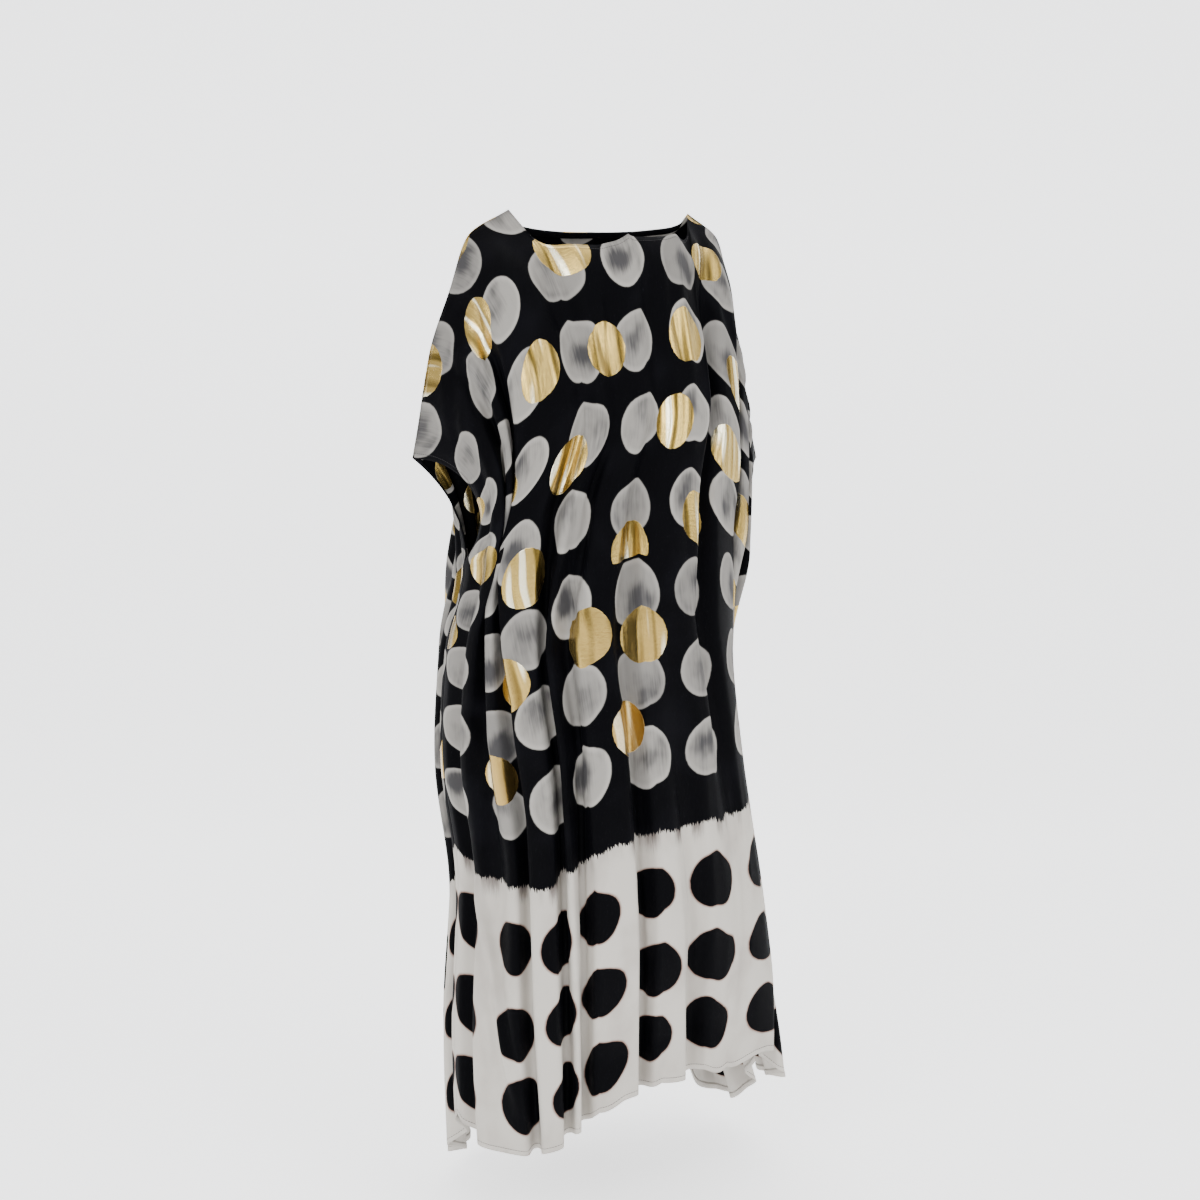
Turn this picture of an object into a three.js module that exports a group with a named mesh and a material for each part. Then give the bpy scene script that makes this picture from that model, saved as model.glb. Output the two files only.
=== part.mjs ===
// Kaftan: a front and a back cloth panel joined at the shoulders and down the sides, worn with
// both arms hanging. Millimetres, +Z up, front faces -Y, wearer's right is -X.
// The origin is the middle of the line between the two neck corners, where the garment is held.
import * as THREE from 'three';

const CLOTH_WIDTH = 1180;      // full width of each panel, sleeve edge to sleeve edge
const HALF = CLOTH_WIDTH / 2;
const NECK_HALF = 155;         // half of the boat neck
const NECK_DROP = { front: 98, back: 30 };    // how deep the neck is cut out
const NECK_BOW = { front: -10, back: 16 };     // the neck's edges stand off the middle
const NECK_SAG = 5;           // how far the line between the neck corners dips
const SLEEVE_DEPTH = 360;      // sleeve opening, shoulder seam to side seam
const CLOTH = 1.5;             // wall of a panel
const TURN_WIDTH = 11;         // turned edges at neck, sleeves and hem
const TURN_CLOTH = 1;
const GAP = 0.3;
const WALL_LEAN = 1.38;        // steepest side of a full fold, radians
const FOLD_FLANK = 0.68;       // where the side of a fold starts to level out, share of its half
const OUTLINE_POWER = 2.3;     // 2 is an ellipse
const SEAM_ROW = 10;           // the grid row that ends the sleeve opening
const U_STEPS = 236;
const T_STEP = 10;
const T_END = 1560;
const ROWS = 24;

// Cut length of both panels at each distance across them: the hem is shorter at the sides.
const HEM = {
  columns: ['across', 'front', 'back'],
  rows: [
    [-590, 1285, 1285],
    [-450, 1355, 1370],
    [-320, 1440, 1465],
    [-200, 1495, 1515],
    [-80, 1470, 1525],
    [40, 1475, 1525],
    [160, 1470, 1510],
    [300, 1390, 1450],
    [450, 1320, 1360],
    [590, 1255, 1255],
  ],
};

// Shoulder seam from neck corner to sleeve edge: cloth distance from the middle of the panel,
// then the point's distance out, back and up.
const ARM = {
  columns: ['run', 'out', 'back', 'up'],
  right: [
    [155, 155, 0, 0], [235, 223, 0, -42], [318, 250, 5, -120],
    [424, 282, 14, -220], [536, 296, 30, -330], [590, 302, 40, -380],
  ],
  left: [
    [155, 155, 0, 0], [224, 210, 0, -41], [323, 235, 5, -137],
    [440, 262, 12, -250], [560, 290, 20, -367], [590, 298, 22, -396],
  ],
};

// Plan section of the worn cloth at each length below the shoulder: reach to each side, and
// how far back each side seam lies.
const SECTIONS = {
  columns: ['length', 'right', 'left', 'front', 'back', 'seamRight', 'seamLeft'],
  rows: [
    [0, 232, 215, 90, 60, 20, 20],
    [100, 250, 222, 132, 95, 0, 0],
    [200, 256, 226, 140, 122, -38, -40],
    [360, 254, 222, 180, 165, -60, -66],
    [520, 266, 190, 210, 195, -8, -50],
    [700, 262, 194, 222, 200, 28, -22],
    [900, 242, 222, 224, 200, 18, -5],
    [1150, 258, 284, 210, 225, 0, 0],
    [1400, 250, 360, 160, 245, 0, 0],
  ],
};

// Folds, from the wearer's right to left. Where each lies across the panel at three lengths,
// how full it is there, and half of the cloth that it takes.
const FOLD_LENGTHS = [200, 700, 1400];
const FOLDS = {
  columns: ['atTop', 'atMiddle', 'atHem', 'fullTop', 'fullMiddle', 'fullHem', 'half'],
  front: [
    [-535, -540, -540, 0.05, 0.4, 0.55, 34],
    [-430, -455, -462, 1.2, 0.4, 0.05, 40],
    [-340, -367, -385, 1.2, 0.65, 0.8, 40],
    [-115, -250, -280, 0, 0.75, 0.8, 40],
    [-30, -170, -200, 0, 0.5, 0.8, 42],
    [55, -42, -50, 0, 0.5, 0.75, 42],
    [140, 42, 80, 0, 0, 0.6, 40],
    [225, 135, 185, 0.6, 0.4, 0.05, 40],
    [328, 325, 308, 1.2, 1.1, 0.8, 44],
    [444, 426, 405, 1.2, 1.2, 0.7, 44],
    [530, 515, 520, 0.15, 0.7, 0.9, 44],
  ],
  back: [
    [-530, -540, -540, 0.1, 0.6, 0.8, 38],
    [-450, -450, -440, 0.6, 0.8, 1.0, 42],
    [-335, -340, -330, 1.0, 0.8, 0.7, 42],
    [-215, -230, -222, 0.2, 0.6, 0.9, 42],
    [-110, -122, -112, 0.05, 0.4, 0.7, 40],
    [-5, -15, -8, 0.1, 0.5, 0.8, 42],
    [105, 95, 105, 0.05, 0.4, 0.7, 40],
    [215, 205, 215, 0.2, 0.6, 0.8, 42],
    [325, 318, 325, 1.0, 0.8, 0.8, 42],
    [435, 432, 438, 0.6, 0.8, 0.9, 42],
    [530, 536, 542, 0.1, 0.7, 0.9, 38],
  ],
};
const FOLD_STATIONS = [-1.02, -0.66, -0.2, 0.2, 0.66, 1.02];   // grid columns on a fold

// The sleeve cloth swings out around the arm on its way down: forward or back, and inward.
const SWING = { front: 50, back: 48, inward: 20 };
const SLEEVE_BUNCH = 0.45;
const CHEST_HALF = 150;

// How much cloth each column spends before it lies on the body's section.
const REACH = {
  columns: ['run', 'length'],
  rows: [[0, 200], [110, 250], [150, 330], [300, 330], [450, 350], [590, SLEEVE_DEPTH]],
};

const clamp = (x, low, high) => Math.min(high, Math.max(low, x));
const ease = (x) => { const s = clamp(x, 0, 1); return s * s * (3 - 2 * s); };
const mix = (a, b, s) => a + (b - a) * s;

function straight(xs, ys, x) {
  if (x <= xs[0]) return ys[0];
  const last = xs.length - 1;
  if (x >= xs[last]) return ys[last];
  let low = 0, high = last;
  while (high - low > 1) {
    const middle = (low + high) >> 1;
    if (xs[middle] <= x) low = middle; else high = middle;
  }
  return mix(ys[low], ys[high], (x - xs[low]) / (xs[high] - xs[low]));
}

// Smooth curve through a table's column, with no overshoot.
function smooth(rows, column, x) {
  const last = rows.length - 1;
  const at = clamp(x, rows[0][0], rows[last][0]);
  let i = 0;
  while (i < last - 1 && rows[i + 1][0] <= at) i += 1;
  const rise = (k) => (rows[k + 1][column] - rows[k][column]) / (rows[k + 1][0] - rows[k][0]);
  const slope = (k) => {
    if (k === 0) return rise(0);
    if (k === last) return rise(last - 1);
    const before = rise(k - 1), after = rise(k);
    return before * after <= 0 ? 0 : 2 * before * after / (before + after);
  };
  const width = rows[i + 1][0] - rows[i][0], s = (at - rows[i][0]) / width;
  return (1 + 2 * s) * (1 - s) ** 2 * rows[i][column] + s * (1 - s) ** 2 * width * slope(i)
    + s * s * (3 - 2 * s) * rows[i + 1][column] + s * s * (s - 1) * width * slope(i + 1);
}

function shoulderPoint(u, name) {
  const run = Math.abs(u), side = u < 0 ? 'right' : 'left', sign = u < 0 ? -1 : 1;
  if (run < NECK_HALF) {
    const across = run / NECK_HALF;
    return [u, NECK_BOW[name] * (1 - across ** 4), -NECK_SAG * (1 - across ** 2)];
  }
  const at = (name) => smooth(ARM[side], ARM.columns.indexOf(name), run);
  return [sign * at('out'), at('back'), at('up')];
}

const section = (name, length) => smooth(SECTIONS.rows, SECTIONS.columns.indexOf(name), length);
const alongFold = (fold, first, length) =>
  straight(FOLD_LENGTHS, fold.slice(first, first + 3), length);

// Half of a plan section, from the right side seam to the left one.
function halfOutline(length, name, count = 240) {
  const points = [], run = [0];
  for (let i = 0; i <= count; i += 1) {
    const angle = Math.PI * (i / count - 0.5), across = Math.sin(angle);
    const out = Math.sign(across) * Math.abs(across) ** (2 / OUTLINE_POWER);
    const deep = Math.abs(Math.cos(angle)) ** (2 / OUTLINE_POWER);
    const seam = section(across < 0 ? 'seamRight' : 'seamLeft', length) * across ** 4;
    const reach = section(name, length) * (name === 'front' ? -1 : 1);
    points.push([section(across < 0 ? 'right' : 'left', length) * out, seam + reach * deep]);
    if (i) {
      const [a, b] = [points[i - 1], points[i]];
      run.push(run[i - 1] + Math.hypot(b[0] - a[0], b[1] - a[1]));
    }
  }
  return { points, run };
}

// How far the cloth turns from the plan section at distance u across the panel.
function lean(name, u, length) {
  let sum = 0;
  for (const fold of FOLDS[name]) {
    const x = (u - alongFold(fold, 0, length)) / fold[6];
    const flank = 1 - ease((Math.abs(x) - FOLD_FLANK) / 0.42);
    sum += alongFold(fold, 3, length) * Math.tanh(4.5 * x) * flank;
  }
  return sum * WALL_LEAN;
}

// One row of cloth laid on the plan section: its folds are made just full enough for the
// panel's whole width to fit between the side seams. The plain row is the same without folds.
function ringRow(name, length, across) {
  const { points, run } = halfOutline(length, name);
  const total = run[run.length - 1], fine = 940, step = CLOTH_WIDTH / fine;
  const us = [], turns = [];
  for (let i = 0; i <= fine; i += 1) {
    us.push(-HALF + i * step);
    turns.push(lean(name, us[i], length));
  }
  const walk = (fullness) => {
    const along = [0], inward = [0];
    for (let i = 1; i <= fine; i += 1) {
      const a = clamp(fullness * turns[i - 1], -1.6, 1.6);
      const b = clamp(fullness * turns[i], -1.6, 1.6);
      along.push(along[i - 1] + (Math.cos(a) + Math.cos(b)) / 2 * step);
      inward.push(inward[i - 1] - (Math.sin(a) + Math.sin(b)) / 2 * step);
    }
    return { along, inward };
  };
  let low = 0, high = 1.6;
  for (let i = 0; i < 28; i += 1) {
    const middle = (low + high) / 2;
    if (walk(middle).along[fine] > total) low = middle; else high = middle;
  }
  const { along, inward } = walk((low + high) / 2);
  const drift = inward[fine], scale = total / along[fine];
  const xs = points.map((p) => p[0]), ys = points.map((p) => p[1]);
  const facing = name === 'front' ? 1 : -1;
  const plain = across.map((u) => {
    const s = total * (u + HALF) / CLOTH_WIDTH;
    return [straight(run, xs, s), straight(run, ys, s)];
  });
  const folded = across.map((u) => {
    const s = straight(us, along, u) * scale;
    const depth = straight(us, inward, u) - drift * (u + HALF) / CLOTH_WIDTH;
    const a = clamp(s - 4, 0, total), b = clamp(s + 4, 0, total);
    const tx = straight(run, xs, b) - straight(run, xs, a);
    const ty = straight(run, ys, b) - straight(run, ys, a), size = Math.hypot(tx, ty);
    return [straight(run, xs, s) - ty / size * facing * depth,
      straight(run, ys, s) + tx / size * facing * depth];
  });
  return { folded, plain };
}

// How far a column drops over one step of cloth that also moves sideways. The arm bunches the
// cloth up towards the sleeve edge.
function fallOf(moved, t, run, bunch) {
  const fall = Math.sqrt(Math.max(T_STEP ** 2 - moved ** 2, (0.12 * T_STEP) ** 2));
  const bunched = t <= SLEEVE_DEPTH ? bunch * clamp((run - 300) / 290, 0, 1) ** 2 : 0;
  return fall * (1 - bunched);
}

// The worn cloth of one panel on a regular grid of u (across) and t (down from the shoulder).
// Heights follow from the cloth's length: each column spends T_STEP of cloth a row, and only
// the sideways travel of the plain row shortens its drop.
function drape(name, bunch) {
  const us = [], grid = [];
  for (let i = 0; i <= U_STEPS; i += 1) us.push(-HALF + CLOTH_WIDTH * i / U_STEPS);
  const facing = name === 'front' ? -1 : 1;
  const start = us.map((u) => shoulderPoint(u, name)), body = ringRow(name, SLEEVE_DEPTH, us);
  const overArm = (u, i, t, place) => {
    const run = Math.abs(u), chest = section(name, t) / section(name, SLEEVE_DEPTH) - 1;
    const y = place[1] * (1 + chest * (1 - ease((run - CHEST_HALF) / 200)));
    const share = 1 - (1 - clamp(t / smooth(REACH.rows, 1, run), 0, 1)) ** 2;
    const sleeve = clamp((run - 300) / 290, 0, 1) ** 1.5 * Math.sin(Math.PI * t / SLEEVE_DEPTH);
    return [mix(start[i][0], place[0], share) - Math.sign(u) * SWING.inward * sleeve,
      mix(start[i][1], y, share) + facing * SWING[name] * sleeve];
  };
  let before = start;
  for (let t = 0, j = 0; t <= T_END; t += T_STEP, j += 1) {
    if (j === 0) {
      grid.push(start.map((point) => point.slice()));
      continue;
    }
    const { folded, plain } = t < SLEEVE_DEPTH ? body : ringRow(name, t, us);
    const lay = (row) => (t < SLEEVE_DEPTH ? us.map((u, i) => overArm(u, i, t, row[i])) : row);
    const places = lay(folded), middle = lay(plain), last = before;
    grid.push(us.map((u, i) => {
      const moved = Math.hypot(middle[i][0] - last[i][0], middle[i][1] - last[i][1]);
      const fall = fallOf(moved, t, Math.abs(u), bunch[u < 0 ? 'right' : 'left']);
      return [...places[i], grid[j - 1][i][2] - fall];
    }));
    before = middle;
  }
  return { us, grid };
}

// Height of a sleeve edge where it meets the side seam.
function sleeveDrop(name, side, bunch) {
  const sign = side === 'right' ? -1 : 1, [sx, sy, sz] = shoulderPoint(sign * HALF, name);
  const seamX = sign * section(side, SLEEVE_DEPTH);
  const seamY = section(side === 'right' ? 'seamRight' : 'seamLeft', SLEEVE_DEPTH);
  let [x, y, z] = [sx, sy, sz];
  for (let t = T_STEP; t <= SLEEVE_DEPTH; t += T_STEP) {
    const share = 1 - (1 - t / SLEEVE_DEPTH) ** 2, sleeve = Math.sin(Math.PI * t / SLEEVE_DEPTH);
    const nx = mix(sx, seamX, share) - sign * SWING.inward * sleeve;
    const ny = mix(sy, seamY, share) + (name === 'front' ? -1 : 1) * SWING[name] * sleeve;
    z -= fallOf(Math.hypot(nx - x, ny - y), t, HALF, bunch);
    [x, y] = [nx, ny];
  }
  return z;
}

// The back of each sleeve is bunched just enough to reach the side seam at the same height.
function backBunch(side) {
  const target = sleeveDrop('front', side, SLEEVE_BUNCH);
  let low = 0, high = 0.95;
  for (let i = 0; i < 40; i += 1) {
    const middle = (low + high) / 2;
    if (sleeveDrop('back', side, middle) < target) low = middle; else high = middle;
  }
  return (low + high) / 2;
}

const front = drape('front', { right: SLEEVE_BUNCH, left: SLEEVE_BUNCH });
const back = drape('back', { right: backBunch('right'), left: backBunch('left') });
const cloths = { front, back };

// A point of the worn cloth from its place on the flat panel.
function wornPoint(name, u, t) {
  const { grid } = cloths[name];
  const a = clamp((u + HALF) / CLOTH_WIDTH * U_STEPS, 0, U_STEPS - 1e-6);
  const b = clamp(t / T_STEP, 0, grid.length - 1 - 1e-6);
  const i = Math.floor(a), j = Math.floor(b), p = a - i, q = b - j;
  return [0, 1, 2].map((k) => mix(mix(grid[j][i][k], grid[j][i + 1][k], p),
    mix(grid[j + 1][i][k], grid[j + 1][i + 1][k], p), q));
}

const neckLine = (name, u) =>
  NECK_DROP[name] * clamp(1 - (u / NECK_HALF) ** 4, 0, 1) ** 0.25;

const hemLine = (name, u) => smooth(HEM.rows, HEM.columns.indexOf(name), u);

const TOP_SHARED = 160;        // down to here the columns of both panels run together

// Places across the panel that follow its folds down the cloth.
function foldPlaces(name, t) {
  const list = [];
  for (const fold of FOLDS[name]) {
    const middle = alongFold(fold, 0, t);
    for (const place of FOLD_STATIONS) list.push(middle + place * fold[6]);
  }
  return list;
}

// Grid columns: both panels share them on the shoulder seam, and two mark the neck corners.
function stations(name, t) {
  const shared = foldPlaces('front', 0);
  for (const corner of [-NECK_HALF, NECK_HALF]) {
    const miss = shared.map((u) => Math.abs(u - corner));
    shared[miss.indexOf(Math.min(...miss))] = corner;
  }
  const own = foldPlaces(name, t), share = ease((t - 2 * TURN_WIDTH) / TOP_SHARED);
  const inner = own.map((u, i) => mix(shared[i], u, share));
  const list = [-HALF, -HALF + TURN_WIDTH, ...inner, HALF - TURN_WIDTH, HALF];
  const last = list.length - 1;
  for (let i = 2; i < last - 1; i += 1) list[i] = Math.max(list[i], list[i - 1] + 4);
  for (let i = last - 2; i > 1; i -= 1) list[i] = Math.min(list[i], list[i + 1] - 4);
  return list;
}

// Cloth length from the shoulder line to grid row j. The first and last rows are turned edges.
function rowLength(name, j, u) {
  const top = neckLine(name, u), hem = hemLine(name, u);
  if (j === 0) return top;
  if (j === ROWS) return hem;
  if (j <= SEAM_ROW) {
    return mix(top + TURN_WIDTH, SLEEVE_DEPTH, ((j - 1) / (SEAM_ROW - 1)) ** 1.15);
  }
  return mix(SLEEVE_DEPTH, hem - TURN_WIDTH, (j - SEAM_ROW) / (ROWS - 1 - SEAM_ROW));
}

// The panel's grid of flat places, with its columns on the folds.
function flatGrid(name) {
  const grid = [];
  for (let j = 0; j <= ROWS; j += 1) {
    const places = stations(name, j < 2 ? 0 : rowLength(name, j, 0));
    grid.push(places.map((u) => [u, rowLength(name, j, u)]));
  }
  return grid;
}

const vector = (p) => new THREE.Vector3(...p);

function outwardNormal(name, u, t) {
  const e = 2.5;
  const across = vector(wornPoint(name, clamp(u + e, -HALF, HALF), t))
    .sub(vector(wornPoint(name, clamp(u - e, -HALF, HALF), t)));
  const down = vector(wornPoint(name, u, clamp(t + e, 0, T_END - 1)))
    .sub(vector(wornPoint(name, u, clamp(t - e, 0, T_END - 1))));
  const normal = down.cross(across).normalize();
  return name === 'front' ? normal : normal.negate();
}

// On a seam both panels share one direction through the cloth, and keep half the gap from it.
function throughCloth(name, u, t) {
  const own = outwardNormal(name, u, t), other = name === 'front' ? 'back' : 'front';
  const onShoulder = t < 0.5 && Math.abs(u) >= NECK_HALF - 1;
  const onSide = Math.abs(u) > HALF - 0.5 && t >= SLEEVE_DEPTH - 0.5;
  const onSeam = onShoulder || onSide;
  if (!onSeam) return own;
  const shared = own.clone().add(outwardNormal(other, u, t));
  if (shared.length() < 0.5) shared.copy(onSide ? new THREE.Vector3(Math.sign(u), 0, 0)
    : new THREE.Vector3(0, 0, 1));
  shared.normalize();
  return shared.divideScalar(Math.max(0.55, shared.dot(own)));
}

// Edges on a seam stop half the gap short of it.
function outerPoint(name, u, t) {
  const side = t >= SLEEVE_DEPTH - 0.5 ? HALF - GAP * 0.9 : HALF;
  const top = Math.abs(u) >= NECK_HALF - 1 ? GAP * 0.9 : 0;
  return vector(wornPoint(name, clamp(u, -side, side), Math.max(t, top)));
}

// Outer face of a panel: a point and the direction through the cloth at each grid place.
const outerFace = (name) => flatGrid(name).map((row) => row.map(([u, t]) => ({
  point: outerPoint(name, u, t), through: throughCloth(name, u, t),
})));

// A closed body between two depths under the outer face of the cloth.
function clothBody(name, face, from, to) {
  const rows = face.length, columns = face[0].length, positions = [], index = [];
  for (const depth of [from, to]) {
    for (const row of face) {
      for (const { point, through } of row) {
        positions.push(...point.clone().addScaledVector(through, -depth).toArray());
      }
    }
  }
  const at = (layer, j, i) => (layer * rows + j) * columns + i;
  const quad = (a, b, c, d) => index.push(...(name === 'back'
    ? [a, d, b, b, d, c] : [a, b, d, b, c, d]));
  for (let j = 0; j + 1 < rows; j += 1) {
    for (let i = 0; i + 1 < columns; i += 1) {
      quad(at(0, j, i), at(0, j + 1, i), at(0, j + 1, i + 1), at(0, j, i + 1));
      const [a, b, c, d] = [at(1, j, i), at(1, j + 1, i), at(1, j + 1, i + 1), at(1, j, i + 1)];
      index.push(...(name === 'back' ? [a, b, d, b, c, d] : [a, d, b, b, d, c]));
    }
  }
  const [low, right] = [rows - 1, columns - 1];
  for (let i = 0; i < right; i += 1) {
    quad(at(0, 0, i), at(0, 0, i + 1), at(1, 0, i + 1), at(1, 0, i));
    quad(at(0, low, i), at(1, low, i), at(1, low, i + 1), at(0, low, i + 1));
  }
  for (let j = 0; j < low; j += 1) {
    quad(at(0, j, 0), at(1, j, 0), at(1, j + 1, 0), at(0, j + 1, 0));
    quad(at(0, j, right), at(0, j + 1, right), at(1, j + 1, right), at(1, j, right));
  }
  const geometry = new THREE.BufferGeometry();
  geometry.setAttribute('position', new THREE.Float32BufferAttribute(positions, 3));
  geometry.setIndex(index);
  geometry.computeVertexNormals();
  return geometry;
}

const black = { color: 0x0d0d11, roughness: 0.72, metalness: 0 };
const cream = { color: 0xd8d2c9, roughness: 0.8, metalness: 0 };
const group = new THREE.Group();
group.name = 'kaftan';

function add(name, geometry, look) {
  const mesh = new THREE.Mesh(geometry, new THREE.MeshStandardMaterial(look));
  mesh.name = name;
  group.add(mesh);
}

const TURN_DEPTHS = [CLOTH + GAP, CLOTH + GAP + TURN_CLOTH];

for (const name of ['front', 'back']) {
  const face = outerFace(name), across = face[0].length, shoulder = stations(name, 0);
  const cut = (rows, columns) => face.slice(...rows).map((row) => row.slice(...columns));
  add(`${name}_panel`, clothBody(name, face, 0, CLOTH), black);
  add(`hem_turn_${name}`,
    clothBody(name, cut([ROWS - 1, ROWS + 1], [2, across - 2]), ...TURN_DEPTHS), cream);
  const corners = [-NECK_HALF, NECK_HALF].map((u) => shoulder.indexOf(u));
  add(`neck_turn_${name}`,
    clothBody(name, cut([0, 2], [corners[0] + 1, corners[1]]), ...TURN_DEPTHS), black);
  for (const [side, first] of [['right', 0], ['left', across - 2]]) {
    add(`cuff_turn_${name}_${side}`,
      clothBody(name, cut([1, SEAM_ROW], [first, first + 2]), ...TURN_DEPTHS), black);
  }
}

export default group;
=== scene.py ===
import math

import bpy
import numpy as np
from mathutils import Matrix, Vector


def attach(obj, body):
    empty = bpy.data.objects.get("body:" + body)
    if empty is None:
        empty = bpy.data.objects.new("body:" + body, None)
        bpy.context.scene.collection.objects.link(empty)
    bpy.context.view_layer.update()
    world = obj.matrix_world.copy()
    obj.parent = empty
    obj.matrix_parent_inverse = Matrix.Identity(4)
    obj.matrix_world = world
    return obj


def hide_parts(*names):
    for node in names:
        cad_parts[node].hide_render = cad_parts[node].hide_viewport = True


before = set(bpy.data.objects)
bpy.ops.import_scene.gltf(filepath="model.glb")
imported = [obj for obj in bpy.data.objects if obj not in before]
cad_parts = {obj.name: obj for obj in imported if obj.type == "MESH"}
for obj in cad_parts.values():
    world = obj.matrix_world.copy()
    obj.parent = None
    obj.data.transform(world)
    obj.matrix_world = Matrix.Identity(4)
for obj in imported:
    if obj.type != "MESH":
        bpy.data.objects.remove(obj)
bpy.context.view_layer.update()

MM = 0.001

# ---------------------------------------------------------------- camera
CAMERA_AT = (-1.352, -2.900, -0.16)
CAMERA_TURN = math.radians(-25.0)
CAMERA_DOWN = math.radians(8.1)
PHOTO_SIZE = 1200
FOCAL_PIXELS = 2006.0
SENSOR = 36.0

camera = bpy.data.objects.new("camera", bpy.data.cameras.new("camera"))
camera.data.sensor_width = SENSOR
camera.data.sensor_fit = "HORIZONTAL"
camera.data.lens = FOCAL_PIXELS / PHOTO_SIZE * SENSOR
camera.location = CAMERA_AT
camera.rotation_euler = (math.pi / 2 - CAMERA_DOWN, 0.0, CAMERA_TURN)
bpy.context.collection.objects.link(camera)
bpy.context.scene.camera = camera

# ---------------------------------------------------------------- the cut, in millimetres
CLOTH_WIDTH = 1180.0
HALF = CLOTH_WIDTH / 2
NECK_HALF = 155.0
NECK_DROP = {"front": 98.0, "back": 30.0}
NECK_BOW = {"front": -10.0, "back": 16.0}
NECK_SAG = 5.0
SLEEVE_DEPTH = 360.0
PATTERN_HEM = 1477.0     # where the pattern runs out at the hem
BORDER = 442.0           # depth of the pale border above the front hem
CLOTH = 1.0              # thickness drawn
SEAM_GAP = 0.15
TURN_WIDTH = 11.0
WALL_LEAN = 1.38         # radians that a fold of fullness 1 leans
FOLD_FLANK = 0.68        # share of a fold's half that is steep
FLANK_FADE = 0.42
FOLD_TURN = 4.5          # how sharply a fold turns in its middle
STEEPEST = 1.6           # radians that cloth may turn from the plan section
OUTLINE_POWER = 2.3      # squareness of a plan section, 2 is an ellipse
T_STEP = 10.0            # rows of the worn cloth's grid
T_END = 1560.0
U_STEPS = 472            # columns of that grid

# Cut length of both panels at each distance across them.
HEM_COLUMNS = ["across", "front", "back"]
HEM = np.array([
    [-590, 1285, 1285],
    [-450, 1355, 1370],
    [-320, 1440, 1465],
    [-200, 1495, 1515],
    [-80, 1470, 1525],
    [40, 1475, 1525],
    [160, 1470, 1510],
    [300, 1390, 1450],
    [450, 1320, 1360],
    [590, 1255, 1255],
], float)

# Shoulder seam: cloth distance from the middle, then out, back and up.
ARM = {
    "right": np.array([
        [155, 155, 0, 0], [235, 223, 0, -42], [318, 250, 5, -120],
        [424, 282, 14, -220], [536, 296, 30, -330], [590, 302, 40, -380]], float),
    "left": np.array([
        [155, 155, 0, 0], [224, 210, 0, -41], [323, 235, 5, -137],
        [440, 262, 12, -250], [560, 290, 20, -367], [590, 298, 22, -396]], float),
}

# Plan section of the worn cloth at each length below the shoulder.
SECTION_COLUMNS = ["length", "right", "left", "front", "back", "seam_right", "seam_left"]
SECTIONS = np.array([
    [0, 232, 215, 90, 60, 20, 20],
    [100, 250, 222, 132, 95, 0, 0],
    [200, 256, 226, 140, 122, -38, -40],
    [360, 254, 222, 180, 165, -60, -66],
    [520, 266, 190, 210, 195, -8, -50],
    [700, 262, 194, 222, 200, 28, -22],
    [900, 242, 222, 224, 200, 18, -5],
    [1150, 258, 284, 210, 225, 0, 0],
    [1400, 250, 360, 160, 245, 0, 0],
], float)

# Folds from right to left: place across the panel and fullness at three lengths, then half
# of the cloth that the fold takes.
FOLD_LENGTHS = [200, 700, 1400]
FOLDS = {
    "front": [
        [-535, -540, -540, 0.05, 0.4, 0.55, 34],
        [-430, -455, -462, 1.2, 0.4, 0.05, 40],
        [-340, -367, -385, 1.2, 0.65, 0.8, 40],
        [-115, -250, -280, 0, 0.75, 0.8, 40],
        [-30, -170, -200, 0, 0.5, 0.8, 42],
        [55, -42, -50, 0, 0.5, 0.75, 42],
        [140, 42, 80, 0, 0, 0.6, 40],
        [225, 135, 185, 0.6, 0.4, 0.05, 40],
        [328, 325, 308, 1.2, 1.1, 0.8, 44],
        [444, 426, 405, 1.2, 1.2, 0.7, 44],
        [530, 515, 520, 0.15, 0.7, 0.9, 44],
    ],
    "back": [
        [-530, -540, -540, 0.1, 0.6, 0.8, 38],
        [-450, -450, -440, 0.6, 0.8, 1.0, 42],
        [-335, -340, -330, 1.0, 0.8, 0.7, 42],
        [-215, -230, -222, 0.2, 0.6, 0.9, 42],
        [-110, -122, -112, 0.05, 0.4, 0.7, 40],
        [-5, -15, -8, 0.1, 0.5, 0.8, 42],
        [105, 95, 105, 0.05, 0.4, 0.7, 40],
        [215, 205, 215, 0.2, 0.6, 0.8, 42],
        [325, 318, 325, 1.0, 0.8, 0.8, 42],
        [435, 432, 438, 0.6, 0.8, 0.9, 42],
        [530, 536, 542, 0.1, 0.7, 0.9, 38],
    ],
}
FULLEST = 1.6            # bounds of the search for the fullness that fits
HALVINGS = 28
FINE_COLUMNS = 941
SWING = {"front": 50.0, "back": 48.0, "inward": 20.0}
SLEEVE_BUNCH = 0.45
SLEEVE_FROM = 300.0      # distance across the panel where the sleeve begins to swing
CHEST_HALF = 150.0
CHEST_FADE = 200.0
# Cloth length that each distance across takes to reach the plan section.
REACH = np.array([[0, 200], [110, 250], [150, 330], [300, 330], [450, 350], [590, 360]], float)


def ease(x):
    s = np.clip(x, 0, 1)
    return s * s * (3 - 2 * s)


def mix(a, b, s):
    return a + (b - a) * s


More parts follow.
